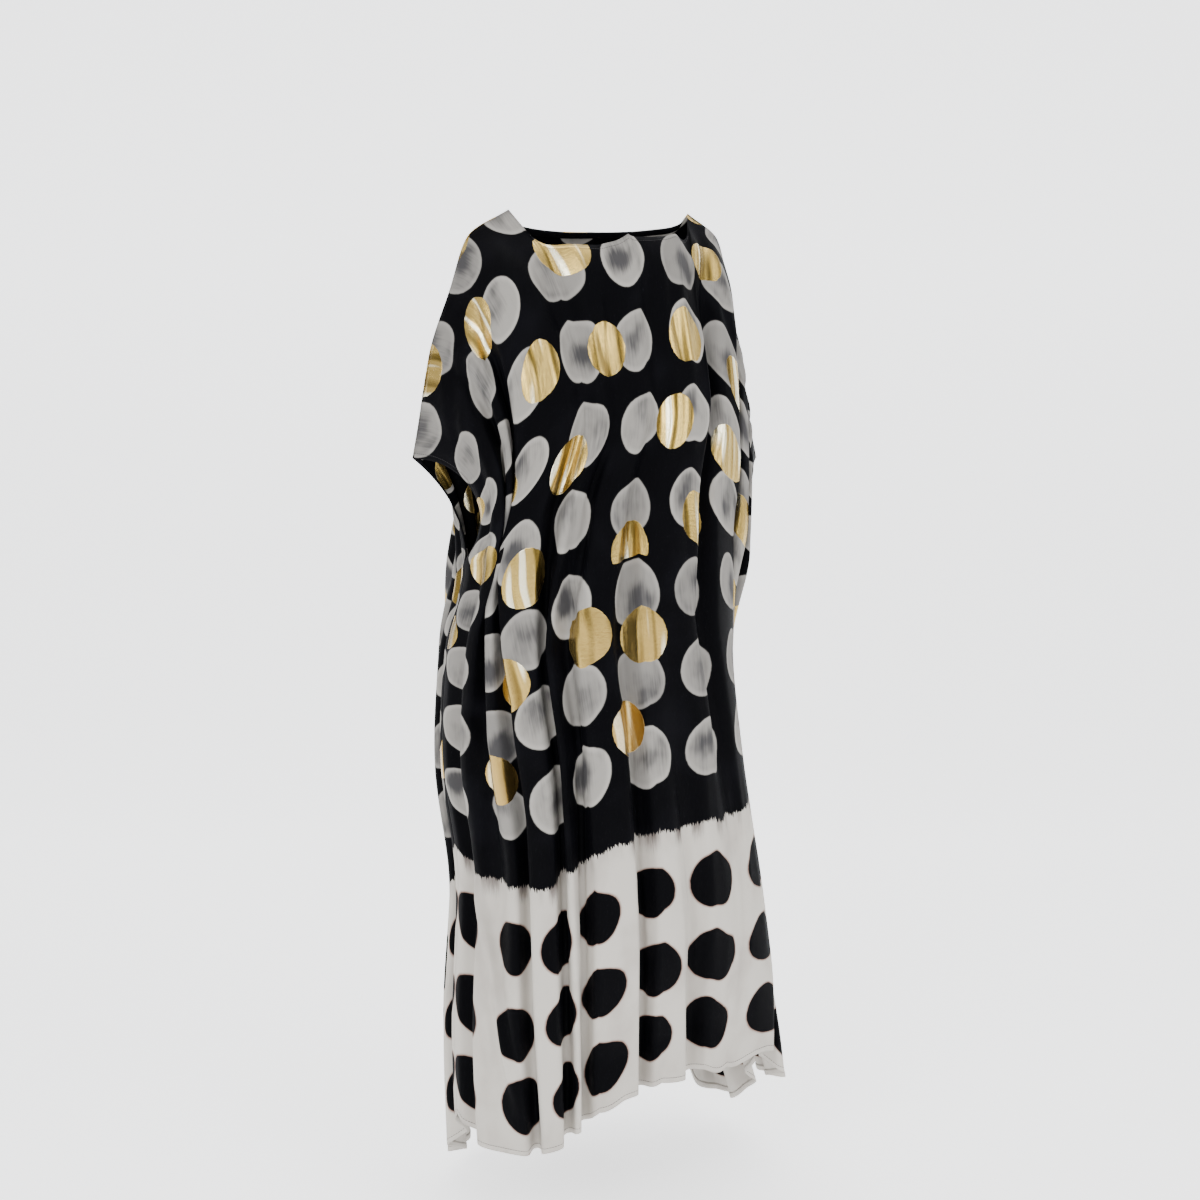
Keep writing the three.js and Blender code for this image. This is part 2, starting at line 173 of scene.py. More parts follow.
def smooth(rows, column, x):
    """Smooth curve through a table's column, with no overshoot."""
    xs, ys = rows[:, 0], rows[:, column]
    width = np.diff(xs)
    rise = np.diff(ys) / width
    slope = np.empty(len(xs))
    slope[0], slope[-1] = rise[0], rise[-1]
    for i in range(1, len(xs) - 1):
        product = rise[i - 1] * rise[i]
        slope[i] = 0 if product <= 0 else 2 * product / (rise[i - 1] + rise[i])
    x = np.clip(np.asarray(x, float), xs[0], xs[-1])
    i = np.clip(np.searchsorted(xs, x, side="right") - 1, 0, len(width) - 1)
    s = (x - xs[i]) / width[i]
    return ((1 + 2 * s) * (1 - s) ** 2 * ys[i] + s * (1 - s) ** 2 * width[i] * slope[i]
            + s * s * (3 - 2 * s) * ys[i + 1] + s * s * (s - 1) * width[i] * slope[i + 1])


def shoulder_line(u, name):
    """Worn places of a panel's top edge: over the arm, or across the neck."""
    run, out = np.abs(u), np.zeros((len(u), 3))
    for side, sign in (("right", -1.0), ("left", 1.0)):
        mine = (u < 0) if sign < 0 else (u >= 0)
        reach = [smooth(ARM[side], k, np.maximum(run[mine], NECK_HALF)) for k in (1, 2, 3)]
        out[mine] = np.stack([sign * reach[0], reach[1], reach[2]], 1)
    neck = run < NECK_HALF
    across = run[neck] / NECK_HALF
    out[neck] = np.stack([u[neck], NECK_BOW[name] * (1 - across ** 4),
                          -NECK_SAG * (1 - across ** 2)], 1)
    return out


def section(name, length):
    return float(smooth(SECTIONS, SECTION_COLUMNS.index(name), length))


def half_outline(length, name, count=240):
    """Half of a plan section, from the right side seam to the left one."""
    angle = np.pi * (np.linspace(0, 1, count + 1) - 0.5)
    across = np.sin(angle)
    right = across < 0
    out = np.sign(across) * np.abs(across) ** (2 / OUTLINE_POWER)
    deep = np.abs(np.cos(angle)) ** (2 / OUTLINE_POWER)
    seam = np.where(right, section("seam_right", length), section("seam_left", length))
    reach = section(name, length) * (-1 if name == "front" else 1)
    points = np.stack([np.where(right, section("right", length), section("left", length)) * out,
                       seam * across ** 4 + reach * deep], 1)
    run = np.r_[0, np.cumsum(np.hypot(*np.diff(points, axis=0).T))]
    return points, run


def along_fold(fold, first, length):
    return np.interp(length, FOLD_LENGTHS, fold[first:first + 3])


def lean(name, u, length):
    """How far the cloth turns from the plan section at distance u across the panel."""
    total = np.zeros_like(u)
    for fold in FOLDS[name]:
        x = (u - along_fold(fold, 0, length)) / fold[6]
        flank = 1 - ease((np.abs(x) - FOLD_FLANK) / FLANK_FADE)
        total += along_fold(fold, 3, length) * np.tanh(FOLD_TURN * x) * flank
    return total * WALL_LEAN


def ring_row(name, length, across):
    """One row of cloth laid on the plan section, with folds just full enough to fit, and the
    same row without folds."""
    points, run = half_outline(length, name)
    fine = np.linspace(-HALF, HALF, FINE_COLUMNS)
    step = fine[1] - fine[0]
    turns = lean(name, fine, length)

    def walk(fullness):
        a = np.clip(fullness * turns, -STEEPEST, STEEPEST)
        cosine, sine = np.cos(a), np.sin(a)
        along = np.r_[0, np.cumsum((cosine[1:] + cosine[:-1]) / 2 * step)]
        inward = np.r_[0, -np.cumsum((sine[1:] + sine[:-1]) / 2 * step)]
        return along, inward

    low, high = 0.0, FULLEST
    for _ in range(HALVINGS):
        middle = (low + high) / 2
        if walk(middle)[0][-1] > run[-1]:
            low = middle
        else:
            high = middle
    along, inward = walk((low + high) / 2)
    facing = 1.0 if name == "front" else -1.0
    s = np.interp(across, fine, along) * run[-1] / along[-1]
    depth = np.interp(across, fine, inward) - inward[-1] * (across + HALF) / CLOTH_WIDTH

    def at(where):
        where = np.clip(where, 0, run[-1])
        return np.stack([np.interp(where, run, points[:, 0]),
                         np.interp(where, run, points[:, 1])], 1)

    tangent = at(s + 4) - at(s - 4)
    tangent /= np.linalg.norm(tangent, axis=1, keepdims=True)
    normal = np.stack([-tangent[:, 1], tangent[:, 0]], 1) * facing
    return at(s) + normal * depth[:, None], at(run[-1] * (across + HALF) / CLOTH_WIDTH)


def sleeve_share(run):
    """0 on the body, rising to 1 at the sleeve's edge."""
    return np.clip((run - SLEEVE_FROM) / (HALF - SLEEVE_FROM), 0, 1)


def fall_of(moved, t, run, bunch):
    """How far a row hangs under the one before it, once it has moved that far in plan."""
    fall = np.sqrt(np.maximum(T_STEP ** 2 - moved ** 2, (0.12 * T_STEP) ** 2))
    if t > SLEEVE_DEPTH:
        return fall
    return fall * (1 - bunch * sleeve_share(run) ** 2)


def drape(name, bunch):
    """The worn cloth of one panel on a regular grid, u across and t down from the shoulder."""
    us = np.linspace(-HALF, HALF, U_STEPS + 1)
    run, sign = np.abs(us), np.sign(us)
    facing = -1.0 if name == "front" else 1.0
    start = shoulder_line(us, name)
    body = ring_row(name, SLEEVE_DEPTH, us)
    bunches = np.where(us < 0, bunch["right"], bunch["left"])

    def over_arm(place, t):
        chest = section(name, t) / section(name, SLEEVE_DEPTH) - 1
        y = place[:, 1] * (1 + chest * (1 - ease((run - CHEST_HALF) / CHEST_FADE)))
        share = 1 - (1 - np.clip(t / smooth(REACH, 1, run), 0, 1)) ** 2
        swell = np.sin(np.pi * t / SLEEVE_DEPTH)
        sleeve = sleeve_share(run) ** 1.5 * swell
        return np.stack([mix(start[:, 0], place[:, 0], share) - sign * SWING["inward"] * sleeve,
                         mix(start[:, 1], y, share) + facing * SWING[name] * sleeve], 1)

    grid, before = [start], start[:, :2]
    for t in np.arange(T_STEP, T_END + 1, T_STEP):
        if t < SLEEVE_DEPTH:
            places, middle = (over_arm(row, t) for row in body)
        else:
            places, middle = ring_row(name, t, us)
        moved = np.hypot(*(middle - before).T)
        z = grid[-1][:, 2] - fall_of(moved, t, run, bunches)
        grid.append(np.column_stack([places, z]))
        before = middle
    return np.array(grid)


def sleeve_drop(name, side, bunch):
    """Height of a sleeve edge where it meets the side seam."""
    sign = -1.0 if side == "right" else 1.0
    sx, sy, z = shoulder_line(np.array([sign * HALF]), name)[0]
    seam_x, seam_y = sign * section(side, SLEEVE_DEPTH), section("seam_" + side, SLEEVE_DEPTH)
    x, y = sx, sy
    for t in np.arange(T_STEP, SLEEVE_DEPTH + 1, T_STEP):
        share, swell = 1 - (1 - t / SLEEVE_DEPTH) ** 2, math.sin(math.pi * t / SLEEVE_DEPTH)
        nx = mix(sx, seam_x, share) - sign * SWING["inward"] * swell
        ny = mix(sy, seam_y, share) + (-1 if name == "front" else 1) * SWING[name] * swell
        z -= float(fall_of(math.hypot(nx - x, ny - y), t, HALF, bunch))
        x, y = nx, ny
    return z


def back_bunch(side):
    """Bunching that brings the back of a sleeve edge down to the front's height."""
    target = sleeve_drop("front", side, SLEEVE_BUNCH)
    low, high = 0.0, 0.95
    for _ in range(40):
        middle = (low + high) / 2
        if sleeve_drop("back", side, middle) < target:
            low = middle
        else:
            high = middle
    return (low + high) / 2


CLOTHS = {
    "front": drape("front", {"right": SLEEVE_BUNCH, "left": SLEEVE_BUNCH}),
    "back": drape("back", {"right": back_bunch("right"), "left": back_bunch("left")}),
}


def worn(name, u, t):
    """Points of the worn cloth from their places on the flat panel."""
    grid = CLOTHS[name]
    a = np.clip((u + HALF) / CLOTH_WIDTH * U_STEPS, 0, U_STEPS - 1e-6)
    b = np.clip(t / T_STEP, 0, len(grid) - 1 - 1e-6)
    i, j = a.astype(int), b.astype(int)
    p, q = (a - i)[..., None], (b - j)[..., None]
    return mix(mix(grid[j, i], grid[j, i + 1], p), mix(grid[j + 1, i], grid[j + 1, i + 1], p), q)


def neck_line(name, u):
    return NECK_DROP[name] * np.clip(1 - (u / NECK_HALF) ** 4, 0, 1) ** 0.25


def hem_line(name, u):
    return smooth(HEM, HEM_COLUMNS.index(name), u)


# ---------------------------------------------------------------- creases, given one by one
# From (u, t) to (u, t), half width and depth in mm. Positive is a trough.
CREASES = {
    "front": [
        [-120, 60, -95, 330, 10, 2.2], [-60, 70, -70, 250, 9, 1.6], [20, 60, 10, 280, 12, 1.8],
        [80, 60, 95, 340, 10, 2.0], [-190, 50, -160, 300, 12, 2.6], [150, 40, 175, 300, 12, 2.6],
        [-155, 20, -300, 260, 14, 3.0], [155, 20, 300, 250, 14, 3.0],
        [-300, 60, -430, 180, 10, 2.6], [-360, 40, -500, 150, 9, 2.4],
        [-410, 30, -560, 110, 9, 2.2], [300, 60, 430, 180, 10, 3.0], [380, 50, 540, 130, 9, 3.4],
        [430, 40, 580, 90, 8, 3.4], [470, 60, 585, 160, 8, 3.2], [400, 120, 570, 210, 10, 3.0],
        [-200, 520, -120, 760, 10, 1.8], [-20, 480, -10, 820, 12, 1.6],
        [100, 420, 110, 800, 12, 1.8], [0, 900, -12, 1300, 14, 2.0], [120, 880, 130, 1350, 14, 2.2],
        [-345, 150, -352, 540, 7, 5.0], [-80, 380, -172, 740, 7, 4.0],
        [-172, 700, -196, 1380, 7, 4.0], [-44, 780, -50, 1440, 6, 3.4],
        [-250, 620, -280, 1380, 7, 3.2], [-525, 850, -410, 1320, 7, -6.0],
        [40, 900, 78, 1440, 6, 2.8], [178, 900, 184, 1400, 6, 2.6],
        [-150, 1000, -140, 1380, 12, 1.8], [-420, 700, -500, 900, 12, 2.6],
        [-500, 600, -420, 760, 10, 2.2], [240, 900, 262, 1290, 12, 2.4],
    ],
    "back": [
        [-120, 40, -95, 330, 10, 2.0], [-40, 60, -60, 280, 10, 1.6], [30, 50, 25, 300, 12, 1.8],
        [110, 40, 120, 340, 10, 2.0], [-190, 40, -170, 320, 12, 2.4], [170, 40, 180, 300, 12, 2.4],
        [-155, 20, -300, 260, 14, 3.0], [155, 20, 300, 250, 14, 3.0],
        [-300, 60, -430, 180, 10, 2.6], [-360, 40, -520, 150, 9, 2.4],
        [300, 60, 430, 180, 10, 3.0], [380, 50, 540, 130, 9, 3.2], [430, 40, 580, 90, 8, 3.2],
        [-170, 500, -160, 900, 12, 1.8], [60, 480, 70, 900, 12, 1.8], [160, 700, 150, 1200, 12, 2.0],
        [-60, 900, -50, 1400, 14, 2.0], [270, 800, 270, 1250, 12, 2.2],
        [-280, 800, -275, 1250, 12, 2.2],
    ],
}


CREASE_WANDER = 6.0      # how far a crease strays from its straight line
CREASE_IN = 0.25         # share of its length over which it deepens
CREASE_OUT = 0.30
RIDGE_HIGH = 0.55        # ridges beside it, as a share of its depth
RIDGE_AWAY = 2.1         # and how many half widths away they are
SMOOTH_SIDE = 12.0       # no crease reaches the seams
SMOOTH_TOP = 10.0


def creased(name, u, t):
    """Depth of all creases at a flat place, fading out at the panel's edges."""
    depth = np.zeros_like(u)
    for u0, t0, u1, t1, width, deep in CREASES[name]:
        du, dt = u1 - u0, t1 - t0
        size = math.hypot(du, dt)
        along = ((u - u0) * du + (t - t0) * dt) / size / size
        side = ((u - u0) * dt - (t - t0) * du) / size
        side = side + CREASE_WANDER * np.sin(along * 5.0 + u0)
        fade = ease(along / CREASE_IN) * ease((1.0 - along) / CREASE_OUT)
        trough = np.exp(-(side / width) ** 2)
        ridge = RIDGE_HIGH * np.exp(-((np.abs(side) - RIDGE_AWAY * width) / width) ** 2)
        depth += deep * fade * (trough - ridge)
    edge = ease((HALF - np.abs(u)) / SMOOTH_SIDE) * ease(t / SMOOTH_TOP)
    return depth * edge


def outward(name, u, t, reach=3.0):
    """Unit normals on the outer side of the cloth."""
    across = worn(name, np.clip(u + reach, -HALF, HALF), t)
    across = across - worn(name, np.clip(u - reach, -HALF, HALF), t)
    down = worn(name, u, np.clip(t + reach, 0, T_END - 1))
    down = down - worn(name, u, np.clip(t - reach, 0, T_END - 1))
    normal = np.cross(down, across)
    normal /= np.maximum(np.linalg.norm(normal, axis=-1, keepdims=True), 1e-9)
    return normal if name == "front" else -normal


def surface(name, u, t, depth=0.0):
    """Points at a depth under the outer face of the cloth, in millimetres."""
    side = np.where(t >= SLEEVE_DEPTH, HALF - SEAM_GAP, HALF)
    top = np.where(np.abs(u) >= NECK_HALF, SEAM_GAP, 0.0)
    uc, tc = np.clip(u, -side, side), np.maximum(t, top)
    inward = creased(name, u, t) + depth
    return worn(name, uc, tc) - outward(name, uc, tc) * inward[..., None]


# ---------------------------------------------------------------- mesh helpers
def new_object(name, points, faces, cloth, material):
    """A smooth mesh from points in millimetres, with each point's place on the flat cloth."""
    mesh = bpy.data.meshes.new(name)
    mesh.from_pydata((points * MM).tolist(), [], faces.tolist())
    mesh.materials.append(material)
    if cloth is not None:
        data = mesh.attributes.new("cloth", "FLOAT_VECTOR", "POINT")
        data.data.foreach_set("vector", (cloth * MM).astype(np.float32).ravel())
    mesh.polygons.foreach_set("use_smooth", np.ones(len(mesh.polygons), bool))
    mesh.update()
    piece = bpy.data.objects.new(name, mesh)
    bpy.context.collection.objects.link(piece)
    return piece


PATTERN_SETTLES = 900.0  # from here down the pattern's rows run beside the hem
BACK_SHIFT = 4.0         # metres added to u on the back panel, to tell the two apart


def pattern_down(name, u, t):
    """How far down the pattern a place is: its rows follow the hem."""
    return t + (PATTERN_HEM - hem_line(name, u)) * ease(t / PATTERN_SETTLES)


def shell(label, name, u, t, depths, material):
    """A thin closed cloth between two depths, on a grid of flat places."""
    rows, columns = u.shape
    layers = [surface(name, u, t, d) for d in depths]
    points = np.concatenate([p.reshape(-1, 3) for p in layers])
    shift = 0 if name == "front" else BACK_SHIFT * 1000
    flat = np.stack([u + shift, t, pattern_down(name, u, t)], -1)
    flat = flat.reshape(-1, 3)
    index = np.arange(rows * columns).reshape(rows, columns)
    a, b, c, d = index[:-1, :-1], index[1:, :-1], index[1:, 1:], index[:-1, 1:]
    quads = np.stack([a, b, c, d], -1).reshape(-1, 4)
    count = rows * columns
    faces = [quads, quads[:, ::-1] + count]
    ring = np.concatenate([index[0, :-1], index[:-1, -1], index[-1, :0:-1], index[:0:-1, 0]])
    after = np.roll(ring, -1)
    faces.append(np.stack([ring, after, after + count, ring + count], -1))
    faces = np.concatenate(faces)
    if name == "back":
        faces = faces[:, ::-1]
    return new_object(label, points, faces, np.concatenate([flat, flat]), material)


# ---------------------------------------------------------------- shader helper
class Maker:
    """Writes maths as shader nodes."""

    def __init__(self, name):
        self.material = bpy.data.materials.new(name)
        self.material.use_nodes = True
        self.tree = self.material.node_tree
        self.tree.nodes.clear()

    def node(self, kind, inputs=(), **settings):
        made = self.tree.nodes.new(kind)
        for key, value in settings.items():
            setattr(made, key, value)
        for key, value in dict(inputs).items():
            self.put(made.inputs[key], value)
        return made

    def put(self, socket, value):
        if isinstance(value, bpy.types.NodeSocket):
            self.tree.links.new(value, socket)
        else:
            socket.default_value = value

    def math(self, operation, a, b=0.0, c=0.0):
        made = self.node("ShaderNodeMath", operation=operation)
        for k, value in enumerate((a, b, c)):
            self.put(made.inputs[k], value)
        return made.outputs[0]

    def add(self, a, b):
        return self.math("ADD", a, b)

    def sub(self, a, b):
        return self.math("SUBTRACT", a, b)

    def mul(self, a, b):
        return self.math("MULTIPLY", a, b)

    def step(self, x, low, high, to_low=0.0, to_high=1.0):
        made = self.node("ShaderNodeMapRange", interpolation_type="SMOOTHSTEP", clamp=True)
        for key, value in (("Value", x), ("From Min", low), ("From Max", high),
                           ("To Min", to_low), ("To Max", to_high)):
            self.put(made.inputs[key], value)
        return made.outputs[0]

    def vector(self, x, y, z=0.0):
        return self.node("ShaderNodeCombineXYZ", {"X": x, "Y": y, "Z": z}).outputs[0]

    def noise(self, vector, scale, detail=2.0, roughness=0.5):
        made = self.node("ShaderNodeTexNoise", {
            "Vector": vector, "Scale": scale, "Detail": detail, "Roughness": roughness})
        return made.outputs[0]

    def chance(self, vector):
        """An even random number for each whole-number cell."""
        made = self.node("ShaderNodeTexWhiteNoise", {"Vector": vector}, noise_dimensions="3D")
        parts = self.node("ShaderNodeSeparateColor", {"Color": made.outputs["Color"]})
        return parts.outputs[0], parts.outputs[1], parts.outputs[2]

    def blend(self, share, a, b, kind="RGBA"):
        made = self.node("ShaderNodeMix", data_type=kind)
        first, second, third = (0, 6, 7) if kind == "RGBA" else (0, 2, 3)
        self.put(made.inputs[first], share)
        self.put(made.inputs[second], a)
        self.put(made.inputs[third], b)
        return made.outputs[2 if kind == "RGBA" else 0]


def rgb(red, green, blue):
    """A colour given as it looks on a screen, 0 to 255."""
    def linear(v):
        v = v / 255
        return v / 12.92 if v <= 0.04045 else ((v + 0.055) / 1.055) ** 2.4
    return (linear(red), linear(green), linear(blue), 1.0)


BLACK = rgb(1, 1, 3)
SOFT_BLACK = rgb(6, 6, 10)
GREY = rgb(140, 137, 132)
RIM_GREY = rgb(172, 168, 162)
DEEP_GREY = rgb(64, 63, 64)
CREAM = rgb(184, 179, 171)
WARM_GREY = rgb(168, 162, 155)
BROWN = rgb(112, 78, 66)
SMUDGE = rgb(92, 84, 80)
GOLD = rgb(184, 157, 88)
# painted shade in the foil's crinkles
CRINKLE_SHADE_GOLD = rgb(98, 80, 32)
# painted duller tone of the lower foil, which lacks the highlight
LOWER_SHADED_GOLD = rgb(160, 129, 74)
# painted highlight on the foil's crinkles
HIGHLIGHT_GOLD = rgb(255, 247, 212)
THREAD = rgb(30, 30, 34)

# The dyed spots, in metres of flat cloth.
SPOT_PITCH = 0.130
SPOT_COLUMN = -0.020     # the column of spots nearest the middle
SPOT_FIRST_ROW = 0.135
LAST_ROW = 6.5           # no grey spot reaches the border
SPOT_JITTER = 0.010      # how far a spot may lie off its place, both ways together
SPOT_OVAL = 0.06
SPOT_VARY = 0.003
SPOT_RAGGED = 0.004
BORDER_SEED = 31.0
SPOT_SIZE = 0.047
BORDER_AT = (PATTERN_HEM - BORDER) * MM
BORDER_ROWS = BORDER_AT + 0.100
BORDER_PITCH = 0.131
BORDER_SPOT = 0.045


def cloth_place(m):
    """Flat place of the point: u across, t down, p down with the pattern, and k, 1 on the back."""
    data = m.node("ShaderNodeAttribute", attribute_type="GEOMETRY", attribute_name="cloth")
    parts = m.node("ShaderNodeSeparateXYZ", {"Vector": data.outputs["Vector"]})
    u, t, p = parts.outputs[0], parts.outputs[1], parts.outputs[2]
    k = m.math("GREATER_THAN", u, BACK_SHIFT / 2)
    u = m.sub(u, m.mul(k, BACK_SHIFT))
    return u, t, p, k


def dyed_spots(m, u, p, k, pitch, first, radius, ragged, seed):
    """Round spots on a regular grid: distance inside the edge, place from the spot's middle, the
    spot's three chances and its row."""
    cu = m.math("ROUND", m.math("DIVIDE", m.sub(u, SPOT_COLUMN), pitch))
    cp = m.math("ROUND", m.math("DIVIDE", m.sub(p, first), pitch))
    cell = m.vector(m.add(cu, seed), cp, m.mul(k, 7.0))
    a, b, c = m.chance(cell)
    x = m.sub(m.sub(u, m.add(m.mul(cu, pitch), SPOT_COLUMN)), m.mul(m.sub(a, 0.5), SPOT_JITTER))
    y = m.sub(m.sub(p, m.add(m.mul(cp, pitch), first)), m.mul(m.sub(b, 0.5), SPOT_JITTER))
    place = m.vector(m.add(u, m.mul(k, 3.0)), p, seed)
    wave = m.mul(m.sub(m.noise(place, 16.0, 2.0), 0.5), ragged)
    fine = m.mul(m.sub(m.noise(place, 120.0, 2.0), 0.5), ragged * 0.35)
    oval = m.add(1 - SPOT_OVAL, m.mul(c, 2 * SPOT_OVAL))
    away = m.math("SQRT", m.add(m.mul(m.mul(x, x), oval), m.math("DIVIDE", m.mul(y, y), oval)))
    size = m.add(radius - SPOT_VARY, m.mul(a, 2 * SPOT_VARY))
    return m.add(m.sub(size, away), m.add(wave, fine)), (x, y), (a, b, c), cp


FOIL_ACROSS = 0.186
FOIL_DOWN = 0.150
FOIL_FIRST_ROW = 0.120
FOIL_SHIFT = 0.035
FOIL_SIZE = 0.043
FOIL_JITTER = (0.070, 0.050)
FOIL_SHARE = (0.82, 0.42)          # of the places that have a disc, at the top and below
FOIL_THINS = (0.30, 1.05)          # where that changes, down the cloth
FOIL_CLEAR = 0.055                 # from a disc's middle to the border
FOIL_FADE = 0.020
FOIL_SEED = 23.0


def foil(m, u, p, k):
    """Foil spots laid over the dyed ones by an own scattered rule, thinning out downwards."""
    row = m.math("ROUND", m.math("DIVIDE", m.sub(p, FOIL_FIRST_ROW), FOIL_DOWN))
    odd = m.math("ABSOLUTE", m.math("MODULO", row, 2.0))
    shift = m.add(m.mul(odd, FOIL_ACROSS * 0.5), FOIL_SHIFT)
    col = m.math("ROUND", m.math("DIVIDE", m.sub(u, shift), FOIL_ACROSS))
    a, b, c = m.chance(m.vector(m.add(col, FOIL_SEED), row, m.add(m.mul(k, 5.0), 0.5)))
    x = m.sub(m.sub(u, m.add(m.mul(col, FOIL_ACROSS), shift)),
              m.mul(m.sub(a, 0.5), FOIL_JITTER[0]))
    y = m.sub(m.sub(p, m.add(m.mul(row, FOIL_DOWN), FOIL_FIRST_ROW)),
              m.mul(m.sub(b, 0.5), FOIL_JITTER[1]))
    away = m.math("SQRT", m.add(m.mul(x, x), m.mul(y, y)))
    kept = m.math("LESS_THAN", c, m.step(p, *FOIL_THINS, *FOIL_SHARE))
    kept = m.mul(kept, m.math("LESS_THAN", m.sub(p, y), BORDER_AT - FOIL_CLEAR))
    edge = m.mul(m.sub(m.noise(m.vector(u, p, k), 140.0, 2.0), 0.5), 0.003)
    inside = m.step(m.add(m.sub(FOIL_SIZE, away), edge), -0.0005, 0.0005)
    return m.mul(inside, kept)


YARN_ACROSS = 0.0012
YARN_DOWN = 0.0013
WEAVE_DEPTH = 0.0016


def weave(m, u, t, strength, extra=None):
    """Fine threads and uneven yarns as a bump."""
    threads = m.add(m.math("SINE", m.mul(u, 2 * math.pi / YARN_ACROSS)),
                    m.math("SINE", m.mul(t, 2 * math.pi / YARN_DOWN)))
    yarns = m.noise(m.vector(m.mul(u, 900.0), m.mul(t, 60.0)), 1.0, 2.0)
    cross = m.noise(m.vector(m.mul(u, 60.0), m.mul(t, 900.0), 4.0), 1.0, 2.0)
    slubs = m.noise(m.vector(m.mul(u, 26.0), m.mul(t, 9.0), 9.0), 1.0, 3.0)
    height = m.add(m.mul(threads, 0.05), m.add(m.mul(m.add(yarns, cross), 0.35),
                                               m.mul(slubs, 1.6)))
    if extra is not None:
        height = m.add(height, extra)
    return m.node("ShaderNodeBump", {"Height": height, "Strength": strength,
                                     "Distance": WEAVE_DEPTH}).outputs[0]


def finish_material(m, colour, roughness, metal, bump, sheen=0.012, specular=0.05):
    shader = m.node("ShaderNodeBsdfPrincipled", {
        "Base Color": colour, "Roughness": roughness, "Metallic": metal, "Normal": bump,
        "Sheen Weight": sheen, "Sheen Roughness": 0.45, "Specular IOR Level": specular})
    shader.inputs["Sheen Tint"].default_value = rgb(150, 150, 165)
    out = m.node("ShaderNodeOutputMaterial")
    m.tree.links.new(shader.outputs[0], out.inputs["Surface"])
    return m.material


def grey_on_black(m, u, p, k):
    """Grey spots on black: a pale rim, smoke in the middle, and painted crease highlights and crease
    shade running down the cloth.
    """
    inside, (x, y), chances, row = dyed_spots(m, u, p, k, SPOT_PITCH, SPOT_FIRST_ROW, SPOT_SIZE,
                                              SPOT_RAGGED, 0.0)
    spot = m.mul(m.step(inside, -0.0014, 0.0014), m.math("LESS_THAN", row, LAST_ROW))
    smoke = m.noise(m.vector(m.mul(u, 26.0), m.mul(p, 19.0), k), 1.0, 2.0, 0.5)
    # painted crease highlights and crease shade: narrow bands down the spots
    crease_streaks = m.noise(m.vector(m.mul(u, 260.0), m.mul(p, 14.0), k), 1.0, 2.0, 0.6)
    off_x = m.sub(x, m.mul(m.sub(chances[1], 0.5), 0.030))
    off_y = m.sub(y, m.mul(m.sub(chances[0], 0.5), 0.030))
    away = m.math("SQRT", m.add(m.mul(off_x, off_x), m.mul(off_y, off_y)))
    middle = m.mul(m.step(away, 0.002, 0.040, 0.9, 0.0), m.step(chances[2], 0.1, 0.9, 0.25, 1.0))
    slant = m.add(m.mul(x, m.sub(chances[0], 0.5)), m.mul(y, m.sub(chances[1], 0.5)))
    # dye tone of the spot, with the painted crease light and shade mixed in
    shade = m.add(m.add(middle, m.mul(m.sub(smoke, 0.42), 1.5)),
                  m.add(m.mul(m.sub(crease_streaks, 0.5), 0.70), m.mul(slant, 16.0)))
    grey = m.blend(m.step(shade, 0.0, 1.0), GREY, DEEP_GREY)
    grey = m.blend(m.step(inside, 0.0010, 0.0110, 0.50, 0.0), grey, RIM_GREY)
    grey = m.blend(m.mul(chances[1], 0.38), grey, DEEP_GREY)
    place = m.vector(u, p, m.mul(k, 2.0))
    faded = m.blend(m.step(m.noise(place, 9.0, 2.0), 0.45, 0.75), BLACK, SOFT_BLACK)
    return m.blend(spot, faded, grey)


def border_share(m, u, p, k):
    """Distance under the ragged dye edge, and 1 where the cloth is left pale."""
    fringe = m.noise(m.vector(m.mul(u, 420.0), m.mul(p, 34.0), k), 1.0, 3.0, 0.7)
    slow = m.noise(m.vector(m.mul(u, 14.0), k, 3.0), 1.0, 3.0)
    line = m.add(m.sub(p, BORDER_AT), m.add(m.mul(m.sub(fringe, 0.5), 0.032),
                                            m.mul(m.sub(slow, 0.5), 0.026)))
    return line, m.step(line, -0.0006, 0.0010)


def black_on_pale(m, u, p, k, line):
    """The pale border: smudged under the dye edge, with black spots in brown haloes."""
    cloud = m.noise(m.vector(m.mul(u, 13.0), m.mul(p, 8.0), m.add(k, 6.0)), 1.0, 3.0, 0.55)
    pale = m.blend(m.step(cloud, 0.42, 0.74), CREAM, WARM_GREY)
    patches = m.noise(m.vector(m.mul(u, 22.0), k, 8.0), 1.0, 2.0)
    smudge = m.mul(m.step(line, 0.0, 0.034, 0.95, 0.0), m.step(patches, 0.47, 0.60, 0.06, 1.0))
    pale = m.blend(smudge, pale, SMUDGE)
    inside, _, _, row = dyed_spots(m, u, p, k, BORDER_PITCH, BORDER_ROWS, BORDER_SPOT,
                                   SPOT_RAGGED, BORDER_SEED)
    shown = m.math("GREATER_THAN", row, -0.5)
    halo = m.mul(m.step(inside, -0.0038, 0.0005), shown)
    pale = m.blend(m.mul(halo, 0.85), pale, BROWN)
    return m.blend(m.mul(m.step(inside, -0.0006, 0.0010), shown), pale, BLACK)


